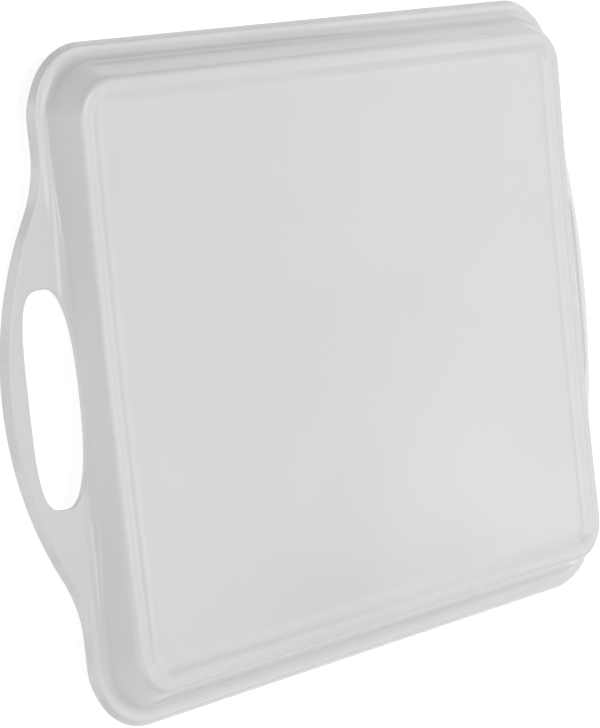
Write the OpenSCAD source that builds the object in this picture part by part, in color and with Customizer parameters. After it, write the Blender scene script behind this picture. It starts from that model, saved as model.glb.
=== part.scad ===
// Two-handled moulded tray hawk: one thin plastic moulding with a flat deck,
// a raised border, sloping walls, a flange with a turned rim, and two drooping
// loop handles with long finger slots. It is divided along its own feature
// lines into closed solids that meet face to face. Deck up, +X and -X are the
// handles, z = 0 is the lowest edge of the two handles.

/* [Deck] */
// Length of the deck over its raised border, handle to handle, mm
deck_len = 352; // [320:0.2:352.8]
// Width of the deck over its raised border, mm
deck_wid = 290.6; // [270:0.2:294]
// Corner radius of the border's outer edge, mm
corner_r = 18.5; // [18.5:0.5:28]
// Thickness of the moulding, mm
sheet = 2.5; // [1.8:0.1:2.8]
// How far the deck lies below the top of its border, mm
recess = 2.5; // [2:0.1:3.2]

/* [Walls] */
// Height from the flange to the top of the border, mm
wall_h = 17.4; // [14:0.1:18.2]
// Slope of the outer walls, degrees from the flange
wall_deg = 65; // [64:1:72]
// Radius of the hollow fillet where wall and flange meet, mm
foot_r = 5; // [3.5:0.5:5.5]

/* [Flange and rim] */
// Length of the flat flange between its two bend lines, mm
flange_len = 381; // [380.5:0.5:384]
// Width of the flat flange between its two bend lines, mm
flange_wid = 324.4; // [320:0.2:340]
// Corner radius of the flange's bend line, mm
flange_r = 32.5; // [30:0.5:32.5]
// How far the turned rim stands out from the bend line, mm
rim_out = 2.75; // [2:0.25:3]
// Depth of the turned rim below the flange's top face, mm
rim_drop = 3.8; // [3.5:0.1:6]

/* [Handles] */
// How far each handle bows out beyond the flange's bend line, mm
bow = 25.4; // [24:0.2:30]
// Radius of a handle's outer edge, mm
bow_r = 205; // [180:1:230]
// Radius where the handle's edge runs back into the flange, mm
neck_r = 73; // [60:1:80]
// Droop of each handle below the flange, degrees
droop = 21.3; // [10:0.1:25]
// Length of a finger slot, mm
slot_len = 104.2; // [90:0.2:110]
// Width of a finger slot, mm
slot_wid = 24; // [20:0.2:25]
// Distance of a slot's middle from the tray's middle, mm
slot_x = 196; // [195.6:0.1:197]

/* [Hidden] */

white = [0.87, 0.87, 0.865];
a = deck_len / 2;             // half length of the border's outer edge
b = deck_wid / 2;             // half width of the border's outer edge
A = flange_len / 2;
B = flange_wid / 2;
cx = a - corner_r;            // centre of the wall's corner arc
cy = b - corner_r;
fx = A - flange_r;            // centre of the flange's corner arc
fy = B - flange_r;
k = tan(droop);
zf = k * (bow + rim_out - 0.6) + rim_drop;   // top of the flange
zc = zf + wall_h;             // top of the border
zd = zc - recess;             // top of the deck

// points on an arc, angles in degrees
function arc(x, y, r, a0, a1, n) = [for (i = [0 : n]) let (t = a0 + (a1 - a0) * i / n) [x + r * cos(t), y + r * sin(t)]];
function rev(v) = [for (i = [len(v) - 1 : -1 : 0]) v[i]];

// ---- section of border and wall: s outwards from the border's outer edge, z down from its top
crest_r = 4;                  // outer rounding of the border's top
crest_s = -0.8;               // where that rounding starts
split_s = -2.1;               // where border and wall are parted, on the border's flat top
flat_s = -2.6;                // inner end of the flat top
in_deg = 24;                  // steepest slope of the border's inner side
in_r = 0.36 * recess / (1 - cos(in_deg));     // rounding of that side's upper half
cove_r = 0.6 * recess / (1 - cos(in_deg));    // hollow of its lower half
// outer rounding, then the straight wall, then the hollow fillet
wl0 = crest_r * sin(wall_deg) + crest_s;
wz0 = crest_r * cos(wall_deg) - crest_r;
under_r = max(0.5, crest_r - sheet);
under_s = crest_s - (sheet - crest_r + under_r) * tan(wall_deg / 2);
foot_s = wl0 + (wz0 + wall_h - foot_r) / tan(wall_deg) + foot_r / sin(wall_deg);
function wall_top(n) = concat([[split_s, 0]], arc(crest_s, -crest_r, crest_r, 90, 90 - wall_deg, n), rev(arc(foot_s, foot_r - wall_h, foot_r, 270, 270 - wall_deg, n)));
function wall_under(n) = concat([[split_s, -sheet]], arc(under_s, -sheet - under_r, under_r, 90, 90 - wall_deg, 3), rev(arc(foot_s, foot_r - wall_h, foot_r + sheet, 270, 270 - wall_deg, n)));
wall_sec = concat(wall_top(8), rev(wall_under(8)));

is0 = flat_s - in_r * sin(in_deg);
cove_s = is0 - 0.04 * recess / tan(in_deg) - cove_r * sin(in_deg);
function bord_top(n) = concat([[split_s, 0]], arc(flat_s, -in_r, in_r, 90, 90 + in_deg, n), arc(cove_s, cove_r - recess, cove_r, 270 + in_deg, 270, n));
function bord_under(n) = concat([[split_s, -sheet]], arc(flat_s, -in_r, in_r - sheet, 90, 90 + in_deg, n), arc(cove_s, cove_r - recess, cove_r + sheet, 270 + in_deg, 270, n));
bord_sec = concat(bord_top(6), rev(bord_under(6)));

// ---- handle outline on the +X side, from +y to -y, along the bend line
hc = A + bow - bow_r;                         // centre of the bow's arc
ny = sqrt(pow(bow_r + neck_r, 2) - pow(A + neck_r - hc, 2));   // where the neck starts
phi = asin(ny / (bow_r + neck_r));
function side_path() = concat(
    [[A, cy]],
    [for (i = [0 : 9]) let (t = 180 + phi * i / 9) [A + neck_r + neck_r * cos(t), ny + neck_r * sin(t)]],
    [for (i = [1 : 35]) let (t = phi - 2 * phi * i / 36) [hc + bow_r * cos(t), bow_r * sin(t)]],
    [for (i = [9 : -1 : 0]) let (t = 180 - phi * i / 9) [A + neck_r + neck_r * cos(t), -ny + neck_r * sin(t)]],
    [[A, -cy]]);
function side_norm() = concat(
    [[1, 0]],
    [for (i = [0 : 9]) let (t = phi * i / 9) [cos(t), sin(t)]],
    [for (i = [1 : 35]) let (t = phi - 2 * phi * i / 36) [cos(t), sin(t)]],
    [for (i = [9 : -1 : 0]) let (t = -phi * i / 9) [cos(t), sin(t)]],
    [[1, 0]]);
function corner_path(n) = concat([[cx, B]], arc(fx, fy, flange_r, 90, 0, n), [[A, cy]]);
function corner_norm(n) = concat([[0, 1]], [for (i = [0 : n]) let (t = 90 - 90 * i / n) [cos(t), sin(t)]], [[1, 0]]);

// drop of the handle's top face at a distance x from the middle
bend_r = 5;
bend_t = bend_r * tan(droop / 2);
function fall(x) = x <= A - bend_t ? 0
    : x >= A + bend_t * cos(droop) ? -k * (x - A)
    : sqrt(bend_r * bend_r - pow(x - A + bend_t, 2)) - bend_r;

// ---- section of the turned rim: outwards, and down from the local top face
q = rim_out;
rim_sec = concat([for (i = [0 : 4]) let (t = 90 - 22.5 * i) [q * cos(t), q * sin(t) - q]],
    [[q, 0.6 - rim_drop], [q - 0.6, -rim_drop], [0.8, -rim_drop], [0.2, 0.6 - rim_drop], [0, -sheet]]);

// a closed solid that sweeps a section along a path; the section stands on the path's normals
module sweep(path, norm, sec) {
    m = len(path);
    n = len(sec);
    pts = [for (i = [0 : m - 1]) for (j = [0 : n - 1])
        let (x = path[i][0] + norm[i][0] * sec[j][0], y = path[i][1] + norm[i][1] * sec[j][0])
        [x, y, zf + fall(x) + sec[j][1]]];
    faces = concat(
        [for (i = [0 : m - 2]) for (j = [0 : n - 1]) [i * n + j, i * n + (j + 1) % n, (i + 1) * n + (j + 1) % n]],
        [for (i = [0 : m - 2]) for (j = [0 : n - 1]) [i * n + j, (i + 1) * n + (j + 1) % n, (i + 1) * n + j]],
        [[for (j = [n - 1 : -1 : 0]) j]],
        [[for (j = [0 : n - 1]) (m - 1) * n + j]]);
    polyhedron(points = pts, faces = faces, convexity = 4);
}

// half sizes x and y, corner radius r
module rounded(x, y, r) polygon(concat(arc(x - r, y - r, r, 0, 90, 24), arc(r - x, y - r, r, 90, 180, 24),
    arc(r - x, r - y, r, 180, 270, 24), arc(x - r, r - y, r, 270, 360, 24)));

// a straight length of a section along X, on the +Y side
module length_x(sec, top) translate([-cx, 0, 0]) rotate([90, 0, 90]) linear_extrude(height = 2 * cx) translate([b, top]) polygon(sec);
// a straight length of a section along Y, on the +X side
module length_y(sec, top) translate([0, cy, 0]) rotate([90, 0, 0]) linear_extrude(height = 2 * cy) translate([a, top]) polygon(sec);
// a quarter turn of a section at the +X +Y corner
module quarter(sec, top) translate([cx, cy, top]) rotate_extrude(angle = 90, $fn = 96) translate([corner_r, 0]) polygon(sec);
module four() { children(); mirror([1, 0, 0]) children(); mirror([0, 1, 0]) { children(); mirror([1, 0, 0]) children(); } }

// oval finger slot, a squarish ellipse, squarer on its outer half
function slot_pts() = [for (i = [0 : 95]) let (t = 360 * i / 96, c = cos(t), s = sin(t), e = 2 / (c > 0 ? 3.6 : 2.6))
    [slot_x + slot_wid / 2 * sign(c) * pow(abs(c), e), slot_len / 2 * sign(s) * pow(abs(s), e)]];
module slot() translate([0, 0, -5]) linear_extrude(height = zc + 10) polygon(slot_pts());

module deck_panel() color(white)
    translate([0, 0, zd - sheet]) linear_extrude(height = sheet) rounded(a + cove_s, b + cove_s, corner_r + cove_s);

module border_back() color(white) length_x(bord_sec, zc);
module border_front() color(white) mirror([0, 1, 0]) length_x(bord_sec, zc);
module border_right() color(white) length_y(bord_sec, zc);
module border_left() color(white) mirror([1, 0, 0]) length_y(bord_sec, zc);
module border_corners() color(white) four() quarter(bord_sec, zc);

module wall_back() color(white) length_x(wall_sec, zc);
module wall_front() color(white) mirror([0, 1, 0]) length_x(wall_sec, zc);
module wall_right() color(white) difference() { length_y(wall_sec, zc); slot(); }
module wall_left() color(white) mirror([1, 0, 0]) difference() { length_y(wall_sec, zc); slot(); }
module wall_corners() color(white) four() quarter(wall_sec, zc);

module flange_back() color(white) translate([-cx, b + foot_s, zf - sheet]) cube([2 * cx, B - b - foot_s, sheet]);
module flange_front() color(white) mirror([0, 1, 0]) translate([-cx, b + foot_s, zf - sheet]) cube([2 * cx, B - b - foot_s, sheet]);
module flange_corners() color(white) four()
    translate([0, 0, zf - sheet]) linear_extrude(height = sheet)
        polygon(concat(corner_path(24), arc(cx, cy, corner_r + foot_s, 0, 90, 24)));

// side view of a handle: flat next to the wall, then a bend, then the droop
xe = A + bow + 8;
function hand_top() = concat([[a + foot_s, 0]], arc(A - bend_t, -bend_r, bend_r, 90, 90 - droop, 5), [[xe, -k * (xe - A)]]);
function hand_under() = concat([[a + foot_s, -sheet]], arc(A - bend_t, -bend_r, bend_r - sheet, 90, 90 - droop, 5), [[xe - sheet * sin(droop), -k * (xe - A) - sheet * cos(droop)]]);
module handle_plate() difference() {
    intersection() {
        translate([0, cy, zf]) rotate([90, 0, 0]) linear_extrude(height = 2 * cy) polygon(concat(hand_top(), rev(hand_under())));
        linear_extrude(height = zc) polygon(concat([[a + foot_s, cy]], side_path(), [[a + foot_s, -cy]]));
    }
    slot();
}
module handle_right() color(white) handle_plate();
module handle_left() color(white) mirror([1, 0, 0]) handle_plate();

module rim_back() color(white) sweep([[-cx, B], [0, B], [cx, B]], [[0, 1], [0, 1], [0, 1]], rim_sec);
module rim_front() color(white) mirror([0, 1, 0]) sweep([[-cx, B], [0, B], [cx, B]], [[0, 1], [0, 1], [0, 1]], rim_sec);
module rim_right() color(white) sweep(side_path(), side_norm(), rim_sec);
module rim_left() color(white) mirror([1, 0, 0]) sweep(side_path(), side_norm(), rim_sec);
module rim_corners() color(white) four() sweep(corner_path(16), corner_norm(16), rim_sec);

deck_panel();
border_front();
border_back();
border_left();
border_right();
border_corners();
wall_front();
wall_back();
wall_left();
wall_right();
wall_corners();
flange_front();
flange_back();
flange_corners();
handle_left();
handle_right();
rim_front();
rim_back();
rim_left();
rim_right();
rim_corners();
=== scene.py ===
import math

import bpy
import numpy as np
from mathutils import Matrix, Vector


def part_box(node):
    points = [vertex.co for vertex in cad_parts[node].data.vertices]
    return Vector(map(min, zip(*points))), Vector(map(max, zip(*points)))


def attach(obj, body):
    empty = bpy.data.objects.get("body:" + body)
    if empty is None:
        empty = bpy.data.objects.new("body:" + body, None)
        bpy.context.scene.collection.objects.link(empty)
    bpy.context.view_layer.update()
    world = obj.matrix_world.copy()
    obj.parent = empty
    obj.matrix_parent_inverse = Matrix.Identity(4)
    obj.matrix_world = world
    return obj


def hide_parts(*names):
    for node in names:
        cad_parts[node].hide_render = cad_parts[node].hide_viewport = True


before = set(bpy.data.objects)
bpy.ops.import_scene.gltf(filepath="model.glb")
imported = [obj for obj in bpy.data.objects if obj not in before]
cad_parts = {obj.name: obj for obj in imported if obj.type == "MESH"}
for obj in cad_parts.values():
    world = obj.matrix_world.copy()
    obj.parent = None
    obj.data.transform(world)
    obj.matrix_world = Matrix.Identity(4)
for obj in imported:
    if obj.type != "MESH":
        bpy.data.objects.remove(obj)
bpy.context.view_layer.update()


# ---------------------------------------------------------------- sizes, in millimetres, from the frame
def box(node):
    lo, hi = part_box(node)
    return np.array(lo) * 1000, np.array(hi) * 1000


A = box("rim_right")[0][0]                   # half length of the flange at its bend line
B = box("flange_back")[1][1]                 # half width of the flange at its bend line
BOW = box("handle_right")[1][0] - A          # how far a handle bows out
RIM = box("rim_back")[1][1] - B              # how far the turned rim stands out
HA = box("border_right")[1][0] + 2.1         # half length of the border's outer edge
HB = box("border_back")[1][1] + 2.1          # half width of the border's outer edge
CX = box("border_back")[1][0]                # centre of the wall's corner arc
CY = box("border_right")[1][1]
ZF = box("flange_back")[1][2]                # top of the flange
ZC = box("border_back")[1][2]                # top of the border
ZD = box("deck_panel")[1][2]                 # top of the deck
SHEET = ZD - box("deck_panel")[0][2]
CR = HA - CX                                 # corner radius of the border's outer edge
WALL = ZC - ZF
RECESS = ZC - ZD
FR = 32.5                                    # corner radius of the flange's bend line
FX, FY = A - FR, B - FR
SLOPE = math.radians(65)                     # outer wall by the handles
INSIDE = math.radians(24)                    # inner side of the border, at its steepest
FOOT = 5.0                                   # hollow fillet between wall and flange
SLOPE_L, FOOT_L = math.radians(62), 8.0      # the two long walls lean a little further out
DROOP = math.radians(21.3)
K = math.tan(DROOP)
BEND = 5 * math.tan(DROOP / 2)              # half length of the bend, in plan
BOW_R, NECK_R = 205.0, 73.0
SLOT_X, SLOT_A, SLOT_B = 196.0, 12.0, 52.1
SLOT_N = (3.6, 2.6)                          # squareness of the slot's outer and inner half
DROP = 3.8                                   # depth of the turned rim
YS = 63.0                                    # half length of the patch that holds a slot

HC = A + BOW - BOW_R
NY = math.sqrt((BOW_R + NECK_R) ** 2 - (A + NECK_R - HC) ** 2)
PHI = math.asin(NY / (BOW_R + NECK_R))


def smooth(t):
    t = np.clip(t, 0, 1)
    return t * t * (3 - 2 * t)


# ---------------------------------------------------------------- section of border and wall
# Each entry is (distance out from the border's outer edge, height over the flange) for the top face and for the underside.
def arc(x, y, r, a0, a1, n):
    t = np.radians(np.linspace(a0, a1, n + 1))
    return np.c_[x + r * np.cos(t), y + r * np.sin(t)]


CREST_R, CREST_S, FLAT_S, SPLIT_S = 4.0, -0.8, -2.6, -2.1
wl0 = CREST_R * math.sin(SLOPE) + CREST_S
wz0 = CREST_R * math.cos(SLOPE) - CREST_R
FOOT_S = wl0 + (wz0 + WALL - FOOT) / math.tan(SLOPE) + FOOT / math.sin(SLOPE)
IN_R = 0.36 * RECESS / (1 - math.cos(INSIDE))
COVE_R = 0.6 * RECESS / (1 - math.cos(INSIDE))
COVE_S = FLAT_S - (IN_R + COVE_R) * math.sin(INSIDE) - 0.04 * RECESS / math.tan(INSIDE)
S_CUT = 3.3                                  # where the slot's patch starts on the wall
N_COVE, N_ROUND, N_CREST, N_WALL, N_FOOT, N_FLANGE = 8, 8, 10, 5, 8, 8
deg = math.degrees


def section(off, slope, fillet):
    """border and wall from the deck outwards, off = 0 for the top face or the sheet's thickness for the underside"""
    s0, z0 = CREST_R * math.sin(slope) + CREST_S, CREST_R * (math.cos(slope) - 1)
    foot_s = s0 + (z0 + WALL - fillet) / math.tan(slope) + fillet / math.sin(slope)
    shift = np.array([-off * math.sin(slope), -off * math.cos(slope)])
    cut = np.array([S_CUT, WALL + z0 - (S_CUT - s0) * math.tan(slope)]) + shift
    end = np.array([foot_s - fillet * math.sin(slope), fillet * (1 - math.cos(slope))]) + shift
    wall = [cut + (end - cut) * i / N_WALL for i in range(N_WALL)]
    rows = [arc(COVE_S, WALL - RECESS + COVE_R, COVE_R + off, 270, 270 + deg(INSIDE), N_COVE),
            arc(FLAT_S, WALL - IN_R, IN_R - off, 90 + deg(INSIDE), 90, N_ROUND),
            [[SPLIT_S, WALL - off]],
            arc(CREST_S, WALL - CREST_R, CREST_R - off, 90, 90 - deg(slope), N_CREST),
            wall,
            arc(foot_s, fillet, fillet + off, 270 - deg(slope), 270, N_FOOT)]
    return np.concatenate([np.array(r) for r in rows])


SEC_TOP, SEC_UND = section(0, SLOPE, FOOT), section(SHEET, SLOPE, FOOT)
LONG_TOP, LONG_UND = section(0, SLOPE_L, FOOT_L), section(SHEET, SLOPE_L, FOOT_L)
K_SPLIT = N_COVE + 1 + N_ROUND + 1           # ring on the border's top where border and wall meet
K_CUT = K_SPLIT + 1 + N_CREST + 1            # ring on the wall where the slot's patch starts
K_FOOT = K_CUT + N_WALL + N_FOOT             # ring where the wall's fillet ends
K_BEND = K_FOOT + N_FLANGE                   # ring on the bend line
N_OUT = K_BEND - K_CUT                       # rows between the cut and the bend line


# ---------------------------------------------------------------- the handle's plate
def swell(y):
    """0 by the corners and 1 beside a slot: the plate turns straight out of the wall's foot there"""
    return smooth((112 - np.abs(y)) / (112 - 56))


def plate(x, y):
    """height of flange and handle over the flange's level, and its slope, at a distance x from the middle"""
    w = swell(y)
    u = x - A
    h = np.where(u < -BEND, 0, np.where(u > BEND, u, (u + BEND) ** 2 / (4 * BEND)))
    dh = np.clip((u + BEND) / (2 * BEND), 0, 1)
    return -K * (w * u + (1 - w) * h), -K * (w + (1 - w) * dh)


def foot(y):
    """hollow fillet between wall and plate at y: its centre, radius and the plate's slope there"""
    w = swell(y)
    r = FOOT + 7.5 * w
    beta = np.arctan(K * w)
    z0 = WALL + wz0 + (HA + wl0) * math.tan(SLOPE)
    xi = (z0 - K * w * A) / (math.tan(SLOPE) - K * w)      # wall and plate lines cross here
    zi = -K * w * (xi - A)
    t = r * np.tan((SLOPE - beta) / 2)
    tx, tz = xi + t * np.cos(beta), zi - t * np.sin(beta)
    return tx + r * np.sin(beta), tz + r * np.cos(beta), r, beta


def height(x, y, off):
    """height over the flange at plan point (x, y), x counted from the middle, for the wall, its foot and the plate"""
    xc, zc, r, beta = foot(y)
    xa, xb = xc - (r + off) * math.sin(SLOPE), xc - (r + off) * np.sin(beta)
    wall = WALL + wz0 - (x - HA - wl0) * math.tan(SLOPE) - off / math.cos(SLOPE)
    bow = zc - np.sqrt(np.maximum((r + off) ** 2 - (x - xc) ** 2, 0))
    z, dz = plate(x, y)
    flat = z - off * np.sqrt(1 + dz ** 2)
    return np.where(x < xa, wall, np.where(x < xb, bow, flat))


def outline(y):
    """the bend line of a handle at y: distance from the middle and outward normal"""
    s = np.abs(y)
    if s >= NY:
        return A, (1.0, 0.0)
    ye = BOW_R * math.sin(PHI)
    if s > ye:
        c = math.sqrt(NECK_R ** 2 - (NY - s) ** 2)
        return A + NECK_R - c, (c / NECK_R, math.copysign((NY - s) / NECK_R, y))
    c = math.sqrt(BOW_R ** 2 - s ** 2)
    return HC + c, (c / BOW_R, y / BOW_R)


def sag(x, y):
    """the long moulding has settled a little in the middle of its two handle sides"""
    x = np.abs(x)
    w = smooth((x - 60) / 108) * (1 - smooth((x - (HA + 0.5)) / 11.5))
    return -1.9 * np.clip(1 - (y / HB) ** 2, 0, 1) * w


# ---------------------------------------------------------------- mesh store: top faces have a twin on the underside
class Store:
    def __init__(self):
        self.co, self.edge, self.twin, self.faces, self.label = [], [], {}, [], []

    def add(self, p, edge=0.0):
        self.co.append((p[0], p[1], p[2]))
        self.edge.append(edge)
        return len(self.co) - 1

    def pair(self, top, und, edge=0.0):
        i = self.add(top, edge)
        self.twin[i] = self.add(und, edge * 0.5)
        return i

    def face(self, label, *v):
        v = [v[i] for i in range(len(v)) if v[i] != v[i - 1]]
        if len(v) > 2:
            self.faces.append(v)
            self.label.append(label)

    def both(self, label, *v):
        self.face(label, *v)
        self.face(label, *[self.twin[i] for i in reversed(v)])


S = Store()
Z0 = ZF

# stations round the tray, anticlockwise from the +X side's front end
N_END, N_SLOT, N_LONG, N_TURN = 22, 50, 84, 20
ys_side = np.concatenate([np.linspace(-CY, -YS, N_END + 1), np.linspace(-YS, YS, N_SLOT + 1)[1:], np.linspace(YS, CY, N_END + 1)[1:]])
xs_side = np.linspace(CX, -CX, N_LONG + 1)
stations = []                                # (base point, normal, zone)
for y in ys_side[:-1]:
    stations.append(((CX, y), (1, 0), "right"))
for i in range(N_TURN):
    t = math.pi / 2 * i / N_TURN
    stations.append(((CX, CY), (math.cos(t), math.sin(t)), "corner"))
for x in xs_side[:-1]:
    stations.append(((x, CY), (0, 1), "back"))
for i in range(N_TURN):
    t = math.pi / 2 * (1 + i / N_TURN)
    stations.append(((-CX, CY), (math.cos(t), math.sin(t)), "corner"))
for y in ys_side[::-1][:-1]:
    stations.append(((-CX, y), (-1, 0), "left"))
for i in range(N_TURN):
    t = math.pi / 2 * (2 + i / N_TURN)
    stations.append(((-CX, -CY), (math.cos(t), math.sin(t)), "corner"))
for x in xs_side[::-1][:-1]:
    stations.append(((x, -CY), (0, -1), "front"))
for i in range(N_TURN):
    t = math.pi / 2 * (3 + i / N_TURN)
    stations.append(((CX, -CY), (math.cos(t), math.sin(t)), "corner"))
M = len(stations)
N_SIDE = len(ys_side) - 1
START = {"right": 0, "back": N_SIDE + N_TURN, "left": N_SIDE + 2 * N_TURN + N_LONG, "front": 2 * N_SIDE + 3 * N_TURN + N_LONG}
ORDER = ["right", "back", "left", "front"]


def zone_of(i):
    """which side or corner the strip from station i to the next one belongs to"""
    i %= M
    for name in ORDER:
        n = N_SIDE if name in ("right", "left") else N_LONG
        if START[name] <= i < START[name] + n:
            return name
    return "corner"


def side_station(i):
    """y on a handle side, with both of its end stations, or None"""
    i %= M
    for name in ("right", "left"):
        j = i - START[name]
        if 0 <= j <= N_SIDE:
            return name, (ys_side[j] if name == "right" else -ys_side[j])
    return None


def bend_point(i):
    """point and plan normal on the bend line at station i"""
    (bx, by), (nx, ny), _ = stations[i % M]
    side = side_station(i)
    if side:
        x, (ox, oy) = outline(by)
        s = math.copysign(1, bx)
        return np.array([s * x, by]), np.array([s * ox, oy])
    sx, sy = math.copysign(1, nx if abs(nx) > 1e-9 else bx), math.copysign(1, by)
    ax, ay, mx, my = abs(bx), abs(by), abs(nx), abs(ny)
    t = (B - ay) / my
    if ax + t * mx <= FX:
        return np.array([math.copysign(ax + t * mx, bx), sy * B]), np.array([0, sy])
    if mx > 1e-9:
        t = (A - ax) / mx
        if ay + t * my <= FY:
            return np.array([math.copysign(A, bx), sy * (ay + t * my)]), np.array([math.copysign(1, bx), 0])
    dx, dy = ax - FX, ay - FY
    h = dx * mx + dy * my
    t = -h + math.sqrt(h * h - dx * dx - dy * dy + FR * FR)
    p = np.array([ax + t * mx, ay + t * my])
    n = (p - [FX, FY]) / FR
    s = np.array([math.copysign(1, bx), sy])
    return p * s, n * s


# edge wear: crests and the turned rim
WEAR = np.zeros(K_BEND + 1)
WEAR[N_COVE + 1:K_SPLIT] = np.linspace(0.3, 0.7, K_SPLIT - N_COVE - 1)
WEAR[K_SPLIT:K_CUT] = 0.8
ring = {}
for i in range(M):
    (bx, by), (nx, ny), _ = stations[i]
    side = side_station(i)
    q, qn = bend_point(i)
    for k in range(K_BEND + 1):
        in_patch = side and abs(side[1]) < YS - 1e-6 and k > K_CUT
        if in_patch and k < K_BEND:
            continue
        if k <= K_CUT or (not side and k <= K_FOOT):
            pt, pu = [], []
            for sec, long, out in ((SEC_TOP, LONG_TOP, pt), (SEC_UND, LONG_UND, pu)):
                e = sec[k] + (long[k] - sec[k]) * ny * ny
                r = CR + e[0]
                out += [bx + nx * r, by + ny * r, Z0 + e[1]]
        else:
            pt, pu = [], []
            for off, out in ((0, pt), (SHEET, pu)):
                if side:
                    xc, zc, r, beta = foot(np.array(by))
                    xa, xb = xc - r * math.sin(SLOPE), xc - r * math.sin(beta)
                    x1 = abs(q[0])
                    if k <= K_CUT + N_WALL:
                        x0 = HA + SEC_TOP[K_CUT][0]
                        x = x0 + (xa - x0) * (k - K_CUT) / N_WALL
                        slope = SLOPE
                    elif k <= K_FOOT:
                        slope = SLOPE + (beta - SLOPE) * (k - K_CUT - N_WALL) / N_FOOT
                        x = xc - r * math.sin(slope)
                    else:
                        x = xb + (x1 - xb) * (k - K_FOOT) / N_FLANGE
                        slope = math.atan(float(-plate(np.array(x), np.array(by))[1]))
                    if off and k < K_BEND:
                        x = x - off * math.sin(slope)
                    elif off:
                        x = x1
                    z = float(height(np.array(x), np.array(by), off))
                    out += [math.copysign(x, bx), by, Z0 + z]
                else:
                    f = (k - K_FOOT) / N_FLANGE
                    r = CR + SEC_TOP[K_FOOT][0] + (LONG_TOP[K_FOOT][0] - SEC_TOP[K_FOOT][0]) * ny * ny
                    p0 = np.array([bx + nx * r, by + ny * r])
                    p = p0 + (q - p0) * f
                    z = float(plate(np.array(abs(p[0])), np.array(130.0))[0]) - off
                    out += [p[0], p[1], Z0 + z]
        ring[k, i] = S.pair(pt, pu, WEAR[k])

for i in range(M):
    j = (i + 1) % M
    zone = zone_of(i)
    side_j = side_station(i) and side_station(j)
    for k in range(K_BEND):
        if (k, i) not in ring or (k + 1, i) not in ring or (k, j) not in ring or (k + 1, j) not in ring:
            continue
        if zone in ("right", "left") and k >= K_CUT:
            ya, yb = abs(side_station(i)[1]), abs(side_station(j)[1])
            if max(ya, yb) < YS + 1e-6:
                continue
        if k < K_SPLIT:
            label = "border"
        elif k < K_FOOT:
            label = "walls"
        else:
            label = "handle_" + zone if zone in ("right", "left") else "flange"
        S.both(label, ring[k, i], ring[k + 1, i], ring[k + 1, j], ring[k, j])

# ---------------------------------------------------------------- deck: a grid, with strips and fans to its rounded edge
grid = {}
for r, y in enumerate(ys_side):
    for c, x in enumerate(xs_side[::-1]):
        grid[c, r] = S.pair((x, y, ZD), (x, y, ZD - SHEET))
NC, NR = N_LONG, N_SIDE
for c in range(NC):
    for r in range(NR):
        S.both("deck_panel", grid[c, r], grid[c + 1, r], grid[c + 1, r + 1], grid[c, r + 1])


def inner(i):
    """the grid vertex that station i starts from"""
    i %= M
    if i <= N_SIDE:
        return grid[NC, i]
    if i <= START["back"]:
        return grid[NC, NR]
    if i <= START["back"] + N_LONG:
        return grid[NC - (i - START["back"]), NR]
    if i <= START["left"]:
        return grid[0, NR]
    if i <= START["left"] + N_SIDE:
        return grid[0, NR - (i - START["left"])]
    if i <= START["front"]:
        return grid[0, 0]
    if i <= START["front"] + N_LONG:
        return grid[i - START["front"], 0]
    return grid[NC, 0]


mid = {}
for i in range(M):
    (bx, by), (nx, ny), _ = stations[i]
    r = (CR + COVE_S) * 0.5
    mid[i] = S.pair((bx + nx * r, by + ny * r, ZD), (bx + nx * r, by + ny * r, ZD - SHEET))
for i in range(M):
    j = (i + 1) % M
    S.both("deck_panel", inner(i), mid[i], mid[j], inner(j))
    S.both("deck_panel", mid[i], ring[0, i], ring[0, j], mid[j])

# ---------------------------------------------------------------- the patch round each finger slot
t = np.linspace(0, 2 * math.pi, 4001)[:-1]
power = 2 / np.where(np.cos(t) > 0, SLOT_N[0], SLOT_N[1])
loop = np.c_[SLOT_A * np.sign(np.cos(t)) * np.abs(np.cos(t)) ** power, SLOT_B * np.sign(np.sin(t)) * np.abs(np.sin(t)) ** power]
KEY = 46.5


def resample(p, share):
    """points at the given shares of a line's length"""
    d = np.r_[0, np.cumsum(np.linalg.norm(np.diff(p, axis=0), axis=1))]
    u = share * d[-1]
    return np.c_[np.interp(u, d, p[:, 0]), np.interp(u, d, p[:, 1])]


def part_of(test):
    idx = [i for i in range(len(loop)) if test(loop[i])]
    breaks = [n for n in range(1, len(idx)) if idx[n] != idx[n - 1] + 1]
    if breaks:
        idx = idx[breaks[0]:] + idx[:breaks[0]]
    return loop[idx]


even = np.linspace(0, 1, N_SLOT + 1)
edge_x = np.array([S.co[ring[K_BEND - k, START["right"] + N_END + N_SLOT]][0] for k in range(N_OUT + 1)])
share = (edge_x[0] - edge_x) / (edge_x[0] - edge_x[-1])      # the slot's ends are spaced as the rings beside them
out_side = resample(part_of(lambda p: p[0] > 0 and abs(p[1]) <= KEY), even)          # -y to +y, outer side
top_end = resample(part_of(lambda p: p[1] >= KEY), share)                              # outer to inner, +y end
in_side = resample(part_of(lambda p: p[0] < 0 and abs(p[1]) <= KEY), even)         # +y to -y, inner side
low_end = resample(part_of(lambda p: p[1] <= -KEY), 1 - share[::-1])                             # inner to outer, -y end
slot = np.concatenate([(out_side[:-1]), top_end[:-1], in_side[:-1], low_end[:-1]])
slot[0] = (out_side[0] + low_end[-1]) / 2
slot[N_SLOT] = (out_side[-1] + top_end[0]) / 2
slot[N_SLOT + N_OUT] = (top_end[-1] + in_side[0]) / 2
slot[2 * N_SLOT + N_OUT] = (in_side[-1] + low_end[0]) / 2
tang = np.roll(slot, -1, 0) - np.roll(slot, 1, 0)
nrm = np.c_[tang[:, 1], -tang[:, 0]]
nrm /= np.linalg.norm(nrm, axis=1)[:, None]
slot = slot + [SLOT_X, 0]
NS = len(slot)
R_TOP, R_UND = 0.9, 0.6                      # rounding of the slot's upper and lower edges

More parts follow.
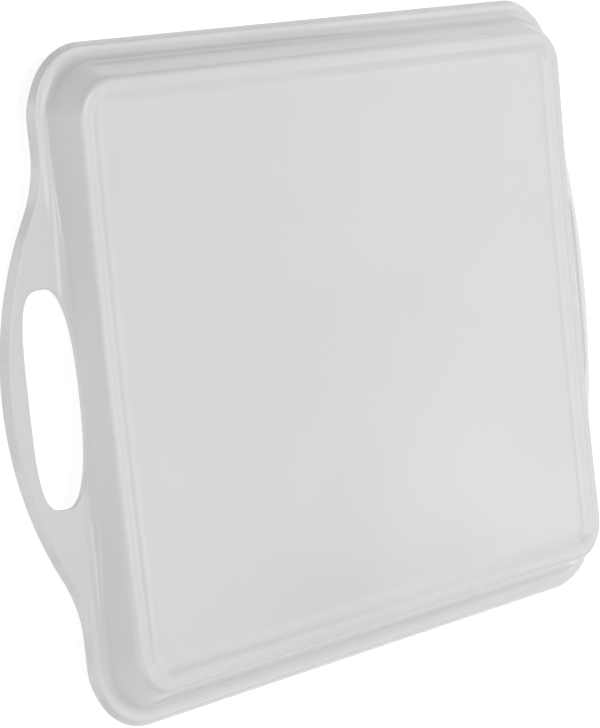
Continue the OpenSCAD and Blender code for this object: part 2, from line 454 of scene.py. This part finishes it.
for name, s in (("right", 1), ("left", -1)):
    def at(x, y, off):
        return (s * x, y, Z0 + float(height(np.array(x), np.array(y), off)))

    # boundary of the patch, in the slot's order
    j0 = N_END
    first = START[name]

    def st(j):
        """station of the j-th side point counted from -y"""
        return (first + j) % M if name == "right" else (first + N_SIDE - j) % M

    bound = [ring[K_BEND, st(j0 + j)] for j in range(N_SLOT)]
    bound += [ring[K_BEND - k, st(j0 + N_SLOT)] for k in range(N_OUT)]
    bound += [ring[K_CUT, st(j0 + N_SLOT - j)] for j in range(N_SLOT)]
    bound += [ring[K_CUT + k, st(j0)] for k in range(N_OUT)]
    label = "handle_" + name
    edge_pts = np.array([[abs(S.co[v][0]), S.co[v][1]] for v in bound])
    under_pts = np.array([[abs(S.co[S.twin[v]][0]), S.co[S.twin[v]][1]] for v in bound])
    rings = []
    steps = [(R_TOP, 0.0), (1.5, 0.0), (2.3, 0.0)] + [(2.3, f) for f in (0.16, 0.34, 0.54, 0.76)]
    for d, f in steps:
        row = []
        for n in range(NS):
            p0 = slot[n] + nrm[n] * d
            pt = p0 + (edge_pts[n] - p0) * f
            du = R_UND + (d - R_TOP)
            u0 = slot[n] + nrm[n] * du
            pu = u0 + (under_pts[n] - u0) * f
            row.append(S.pair(at(pt[0], pt[1], 0), at(pu[0], pu[1], SHEET), 0.55 if d == R_TOP else 0.0))
        rings.append(row)
    rings.append(bound)
    for a, b in zip(rings[:-1], rings[1:]):
        for n in range(NS):
            m = (n + 1) % NS
            quad = (a[n], b[n], b[m], a[m])
            S.both(label, *(quad if s > 0 else quad[::-1]))
    # the slot's own face: rounded at the top and, less, underneath
    rows = [rings[0]]
    for n_step, (kind, f) in enumerate([("t", 0.2), ("t", 0.4), ("t", 0.6), ("t", 0.8), ("t", 1.0), ("u", 1.0), ("u", 0.66), ("u", 0.33)]):
        row = []
        for n in range(NS):
            x, y = slot[n]
            if kind == "t":
                p = np.array(S.co[rings[0][n]])
                c = np.array(at(x, y, 0))
                e = c - [0, 0, R_TOP]
            else:
                p = np.array(S.co[S.twin[rings[0][n]]])
                c = np.array(at(x, y, SHEET))
                e = c + [0, 0, R_UND]
            row.append(S.add((1 - f) ** 2 * p + 2 * f * (1 - f) * c + f * f * e, 0.6))
        rows.append(row)
    rows.append([S.twin[v] for v in rings[0]])
    for a, b in zip(rows[:-1], rows[1:]):
        for n in range(NS):
            m = (n + 1) % NS
            quad = (a[n], a[m], b[m], b[n])
            S.face(label, *(quad if s > 0 else quad[::-1]))

# ---------------------------------------------------------------- turned rim
r0, tilt = 1.3, math.radians(64)
r1 = 0.7
prof = [(r0 * math.sin(tilt * i / 5), r0 * (math.cos(tilt * i / 5) - 1)) for i in range(1, 6)]
# the straight flank ends where a rounding of radius r1 takes it to the rim's lower edge
ox = RIM - r1
oz = -DROP + r1
flank_end = (ox + r1 * math.sin(tilt), oz + r1 * math.cos(tilt))
sx, sz = prof[-1]
prof += [(sx + (flank_end[0] - sx) * f, sz + (flank_end[1] - sz) * f) for f in (0.25, 0.5, 0.75, 1.0)]
prof += [(ox + r1 * math.sin(tilt + (math.pi - tilt) * i / 6), oz + r1 * math.cos(tilt + (math.pi - tilt) * i / 6)) for i in range(1, 7)]
ix, iz, r2 = 0.95, -DROP + 0.5, 0.5
prof += [(ix - r2 * math.sin(math.pi / 2 * i / 3), iz - r2 * math.cos(math.pi / 2 * i / 3)) for i in range(0, 4)]
prof += [(0.42, -SHEET - 0.25), (0.3, -SHEET - 0.06)]
rim = {}
for i in range(M):
    q, n = bend_point(i)
    side = side_station(i)
    yy = q[1] if side else 130.0
    for j, (o, dz) in enumerate(prof):
        p = q + n * o
        z = float(plate(np.array(abs(p[0])), np.array(float(yy)))[0]) + dz
        rim[j, i] = S.add((p[0], p[1], Z0 + z), 1.0 if j < 12 else 0.4)
for i in range(M):
    j = (i + 1) % M
    loop_i = [ring[K_BEND, i]] + [rim[n, i] for n in range(len(prof))] + [S.twin[ring[K_BEND, i]]]
    loop_j = [ring[K_BEND, j]] + [rim[n, j] for n in range(len(prof))] + [S.twin[ring[K_BEND, j]]]
    for n in range(len(loop_i) - 1):
        S.face("rim", loop_i[n], loop_i[n + 1], loop_j[n + 1], loop_j[n])

# ---------------------------------------------------------------- finish the points, and smooth normals over the whole moulding
co = np.array(S.co)
co[:, 2] += sag(co[:, 0], co[:, 1])
co /= 1000.0
normal = np.zeros_like(co)
for f in S.faces:
    p = co[f]
    n = np.zeros(3)
    for i in range(1, len(f) - 1):
        n += np.cross(p[i] - p[0], p[i + 1] - p[0])
    for v in f:
        normal[v] += n
normal /= np.maximum(np.linalg.norm(normal, axis=1), 1e-12)[:, None]
edge_wear = np.array(S.edge)


def make_piece(label, name):
    faces = [f for f, l in zip(S.faces, S.label) if l == label]
    used = {}
    for f in faces:
        for a, b in zip(f, f[1:] + f[:1]):
            used[a, b] = used.get((a, b), 0) + 1
    walls = []
    for (a, b) in list(used):
        if (b, a) not in used and a in S.twin and b in S.twin:
            walls.append([b, a, S.twin[a], S.twin[b]])
    ids = sorted({v for f in faces + walls for v in f})
    new = {v: n for n, v in enumerate(ids)}
    mesh = bpy.data.meshes.new(name)
    mesh.from_pydata([tuple(co[v]) for v in ids], [], [[new[v] for v in f] for f in faces + walls])
    mesh.update()
    normals = []
    for f in faces:
        normals += [tuple(normal[v]) for v in f]
    for f in walls:
        p = co[f]
        n = np.cross(p[1] - p[0], p[2] - p[0])
        n = n / max(np.linalg.norm(n), 1e-12)
        normals += [tuple(n)] * len(f)
    for poly in mesh.polygons:
        poly.use_smooth = True
    mesh.normals_split_custom_set(normals)
    wear = mesh.attributes.new("edge_wear", "FLOAT", "POINT")
    wear.data.foreach_set("value", edge_wear[ids].astype(np.float32))
    o = bpy.data.objects.new(name, mesh)
    bpy.context.scene.collection.objects.link(o)
    return o


# ---------------------------------------------------------------- material: glossy white moulded plastic
def plastic():
    m = bpy.data.materials.new("gloss_white_plastic")
    m.use_nodes = True
    nt = m.node_tree
    nt.nodes.clear()

    def node(kind, **k):
        n = nt.nodes.new(kind)
        for key, v in k.items():
            setattr(n, key, v)
        return n

    def link(a, b):
        nt.links.new(a, b)

    out = node("ShaderNodeOutputMaterial")
    bsdf = node("ShaderNodeBsdfPrincipled")
    link(bsdf.outputs[0], out.inputs[0])
    coord = node("ShaderNodeTexCoord")
    wear = node("ShaderNodeAttribute", attribute_name="edge_wear")

    # colour: a clean white with slow, faint clouds from the moulding, duller on rubbed edges
    cloud = node("ShaderNodeTexNoise")
    cloud.inputs["Scale"].default_value = 14
    cloud.inputs["Detail"].default_value = 3
    link(coord.outputs["Object"], cloud.inputs["Vector"])
    tone = node("ShaderNodeMix", data_type="RGBA")
    tone.inputs["A"].default_value = BASE_A
    tone.inputs["B"].default_value = BASE_B
    ramp = node("ShaderNodeMapRange")
    ramp.inputs["From Min"].default_value = 0.3
    ramp.inputs["From Max"].default_value = 0.7
    link(cloud.outputs["Fac"], ramp.inputs["Value"])
    link(ramp.outputs["Result"], tone.inputs["Factor"])

    speck = node("ShaderNodeTexNoise")
    speck.inputs["Scale"].default_value = 260
    speck.inputs["Detail"].default_value = 5
    speck.inputs["Roughness"].default_value = 0.65
    link(coord.outputs["Object"], speck.inputs["Vector"])
    rub = node("ShaderNodeMath", operation="MULTIPLY")
    spk = node("ShaderNodeMapRange")
    spk.inputs["From Min"].default_value = 0.45
    spk.inputs["From Max"].default_value = 0.75
    link(speck.outputs["Fac"], spk.inputs["Value"])
    link(spk.outputs["Result"], rub.inputs[0])
    link(wear.outputs["Fac"], rub.inputs[1])
    dull = node("ShaderNodeMix", data_type="RGBA")
    dull.inputs["B"].default_value = WORN
    link(rub.outputs[0], dull.inputs["Factor"])
    link(tone.outputs["Result"], dull.inputs["A"])
    link(dull.outputs["Result"], bsdf.inputs["Base Color"])

    # gloss: slightly uneven, with fine scuffs that run with the trowel
    scuff_map = node("ShaderNodeMapping")
    scuff_map.inputs["Scale"].default_value = (9, 14, 12)
    scuff_map.inputs["Rotation"].default_value = (0, 0, 0.5)
    link(coord.outputs["Object"], scuff_map.inputs["Vector"])
    scuff = node("ShaderNodeTexNoise")
    scuff.inputs["Scale"].default_value = 6
    scuff.inputs["Detail"].default_value = 6
    link(scuff_map.outputs[0], scuff.inputs["Vector"])
    gloss = node("ShaderNodeMapRange")
    gloss.inputs["From Min"].default_value = 0.3
    gloss.inputs["From Max"].default_value = 0.75
    gloss.inputs["To Min"].default_value = ROUGH[0]
    gloss.inputs["To Max"].default_value = ROUGH[1]
    link(scuff.outputs["Fac"], gloss.inputs["Value"])
    addr = node("ShaderNodeMath", operation="MULTIPLY_ADD")
    link(rub.outputs[0], addr.inputs[0])
    addr.inputs[1].default_value = 0.04
    link(gloss.outputs["Result"], addr.inputs[2])
    link(addr.outputs[0], bsdf.inputs["Roughness"])

    # surface: the very fine ripple of a moulded face
    peel = node("ShaderNodeTexNoise")
    peel.inputs["Scale"].default_value = 420
    peel.inputs["Detail"].default_value = 2
    link(coord.outputs["Object"], peel.inputs["Vector"])
    wave = node("ShaderNodeTexNoise")
    wave.inputs["Scale"].default_value = 38
    wave.inputs["Detail"].default_value = 1
    link(coord.outputs["Object"], wave.inputs["Vector"])
    b1 = node("ShaderNodeBump")
    b1.inputs["Strength"].default_value = 0.3
    b1.inputs["Distance"].default_value = 0.00003
    link(wave.outputs["Fac"], b1.inputs["Height"])
    b2 = node("ShaderNodeBump")
    b2.inputs["Strength"].default_value = 0.25
    b2.inputs["Distance"].default_value = 0.000008
    link(peel.outputs["Fac"], b2.inputs["Height"])
    link(b1.outputs[0], b2.inputs["Normal"])
    link(b2.outputs[0], bsdf.inputs["Normal"])
    bsdf.inputs["IOR"].default_value = 1.5
    bsdf.inputs["Specular IOR Level"].default_value = 0.5
    return m


BASE_A = (0.665, 0.665, 0.662, 1)
BASE_B = (0.685, 0.685, 0.682, 1)
WORN = (0.65, 0.65, 0.645, 1)
ROUGH = (0.13, 0.17)

mat = plastic()
PIECES = {
    "deck_panel": ("moulded_deck_panel", ["deck_panel"]),
    "border": ("moulded_border", ["border_front", "border_back", "border_left", "border_right", "border_corners"]),
    "walls": ("moulded_walls", ["wall_front", "wall_back", "wall_left", "wall_right", "wall_corners"]),
    "flange": ("moulded_flange", ["flange_front", "flange_back", "flange_corners"]),
    "handle_left": ("moulded_handle_left", ["handle_left"]),
    "handle_right": ("moulded_handle_right", ["handle_right"]),
    "rim": ("turned_rim", ["rim_front", "rim_back", "rim_left", "rim_right", "rim_corners"]),
}
for label, (name, nodes) in PIECES.items():
    o = make_piece(label, name)
    o.data.materials.append(mat)
    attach(o, "root")
    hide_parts(*nodes)

# ---------------------------------------------------------------- floor
floor_mesh = bpy.data.meshes.new("floor")
e = 6.0
floor_mesh.from_pydata([(-e, -e, 0), (e, -e, 0), (e, e, 0), (-e, e, 0)], [], [(0, 1, 2, 3)])
floor = bpy.data.objects.new("floor", floor_mesh)
bpy.context.scene.collection.objects.link(floor)
fm = bpy.data.materials.new("pale_floor")
fm.use_nodes = True
fb = fm.node_tree.nodes["Principled BSDF"]
fb.inputs["Base Color"].default_value = (0.45, 0.45, 0.45, 1)
fb.inputs["Roughness"].default_value = 0.9
fb.inputs["Specular IOR Level"].default_value = 0.1
fb.inputs["Emission Color"].default_value = (1, 1, 1, 1)
fb.inputs["Emission Strength"].default_value = 0.72
floor.data.materials.append(fm)

# ---------------------------------------------------------------- lights
world = bpy.data.worlds.new("studio")
bpy.context.scene.world = world
world.use_nodes = True
world.node_tree.nodes["Background"].inputs["Color"].default_value = (1, 1, 1, 1)
world.node_tree.nodes["Background"].inputs["Strength"].default_value = 0.0


def soft_light(name, direction, distance, size, power):
    d = Vector(direction).normalized()
    light = bpy.data.lights.new(name, "AREA")
    light.shape = "RECTANGLE"
    light.size, light.size_y = size
    light.energy = power
    o = bpy.data.objects.new(name, light)
    o.location = d * distance
    o.rotation_euler = (-d).to_track_quat("-Z", "Y").to_euler()
    bpy.context.scene.collection.objects.link(o)
    return o


# soft boxes on a dome two metres out: azimuth from +X, elevation, width, height, watts
SOFT_BOXES = (
    (0, 90, 0.9, 0.9, 2.5),
    (183, 73, 0.5, 0.35, 1.7),
    (0, 70, 1.0, 0.72, 6.7), (90, 70, 1.0, 0.72, 9.0), (180, 70, 1.0, 0.72, 1.0), (270, 70, 1.0, 0.72, 0.9),
    (160, 64, 0.6, 0.3, 1.2),
    (0, 52, 1.0, 0.72, 2.4), (45, 52, 1.0, 0.72, 0.9), (225, 52, 1.0, 0.72, 5.8), (315, 52, 1.0, 0.72, 2.9),
    (170, 47, 0.45, 0.5, 2.8),
    (0, 32, 1.0, 0.72, 3.2), (30, 32, 1.0, 0.72, 1.5), (300, 32, 1.0, 0.72, 1.2), (330, 32, 1.0, 0.72, 1.2),
    (198, 27, 0.45, 0.5, 1.4),
    (0, 12, 1.0, 0.72, 1.1), (30, 12, 1.0, 0.72, 3.7), (300, 12, 1.0, 0.72, 1.1), (330, 12, 1.0, 0.72, 2.7), (165, 12, 0.6, 0.5, 2.0),
    (185, 12, 0.6, 0.5, 0.8), (205, 12, 0.6, 0.5, 2.1), (225, 12, 0.6, 0.5, 1.2))
for n, (azimuth, elevation, width, tall, power) in enumerate(SOFT_BOXES):
    az, el = math.radians(azimuth), math.radians(elevation)
    direction = (math.cos(el) * math.cos(az), math.cos(el) * math.sin(az), math.sin(el))
    soft_light("soft_box_%02d" % n, direction, 2.0, (width, tall), power)

# ---------------------------------------------------------------- camera
def rotation(v):
    v = np.array(v)
    th = np.linalg.norm(v)
    k = v / th
    kx = np.array([[0, -k[2], k[1]], [k[2], 0, -k[0]], [-k[1], k[0], 0]])
    return np.eye(3) + math.sin(th) * kx + (1 - math.cos(th)) * kx @ kx


R = rotation((2.9390458, -0.2148418, 1.2468553))
tvec = np.array([24.51995, 1.22426, 1462.64358])
centre = (-R.T @ tvec + np.array([0, 0, ZF])) / 1000
cam_data = bpy.data.cameras.new("camera")
cam_data.sensor_fit = "HORIZONTAL"
cam_data.sensor_width = 36
cam_data.lens = 36 * math.exp(7.948717) / 600
cam_data.shift_x = (300 - 294.8083) / 600
cam_data.shift_y = (336.4071 - 364) / 600
cam_data.clip_start, cam_data.clip_end = 0.05, 50
cam = bpy.data.objects.new("camera", cam_data)
right, up, back = R[0], -R[1], -R[2]
cam.matrix_world = Matrix([[right[0], up[0], back[0], centre[0]], [right[1], up[1], back[1], centre[1]], [right[2], up[2], back[2], centre[2]], [0, 0, 0, 1]])
bpy.context.scene.collection.objects.link(cam)
bpy.context.scene.camera = cam
bpy.context.scene.view_settings.view_transform = "Standard"
bpy.context.scene.view_settings.look = "None"

bpy.context.view_layer.update()
